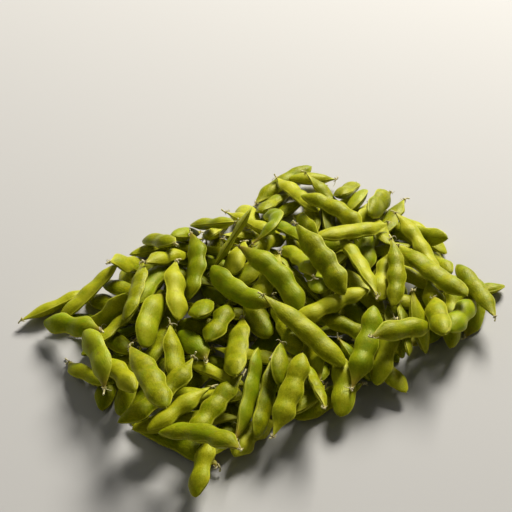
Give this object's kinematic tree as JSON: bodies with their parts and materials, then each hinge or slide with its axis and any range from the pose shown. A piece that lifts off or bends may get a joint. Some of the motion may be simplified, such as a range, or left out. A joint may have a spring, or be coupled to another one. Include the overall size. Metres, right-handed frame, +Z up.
{
  "type": "edamame pod bundle",
  "caption": "Low loose heap of fresh green edamame pods, plump and slightly bent, lying across one another in several layers.",
  "frame": {"origin": "on the table, under the middle of the heap's bounding box", "axes": "+X along the heap's longer side, +Y along its shorter side, +Z up from the table"},
  "size_m": [0.2752, 0.2184, 0.0504],
  "materials": {
    "pod": "satin, faintly downy green skin",
    "shaded_pod": "satin, faintly downy green skin"
  },
  "bodies": {
    "root": {"lower_pods_a1": "shaded_pod", "lower_pods_a2": "shaded_pod", "lower_pods_a3": "shaded_pod", "lower_pods_b1": "shaded_pod", "lower_pods_b2": "shaded_pod", "lower_pods_b3": "shaded_pod", "lower_pods_c1": "shaded_pod", "lower_pods_c2": "shaded_pod", "lower_pods_c3": "shaded_pod", "lower_pods_d1": "shaded_pod", "lower_pods_d2": "shaded_pod", "lower_pods_d3": "shaded_pod", "pod_01": "pod", "pod_02": "pod", "pod_03": "pod", "pod_04": "pod", "pod_05": "pod", "pod_06": "pod", "pod_07": "pod", "pod_08": "pod", "pod_09": "pod", "pod_10": "pod", "pod_11": "pod", "pod_12": "pod", "pod_13": "pod", "pod_14": "pod", "pod_15": "pod", "pod_16": "pod", "pod_17": "pod", "pod_18": "pod", "pod_19": "pod", "pod_20": "pod", "pod_21": "pod", "pod_22": "pod", "pod_23": "pod", "pod_24": "pod", "pod_25": "pod", "pod_26": "pod", "pod_27": "pod", "pod_28": "pod", "pod_29": "pod", "pod_30": "pod", "pod_31": "pod", "pod_32": "pod", "pod_33": "pod", "pod_34": "pod", "pod_35": "pod", "pod_36": "pod", "pod_37": "pod", "pod_38": "pod", "pod_39": "pod", "pod_40": "pod", "pod_41": "pod", "pod_42": "pod", "pod_43": "pod", "pod_44": "pod", "pod_45": "pod", "pod_46": "pod", "pod_47": "pod", "pod_48": "pod"}
  },
  "joints": []
}
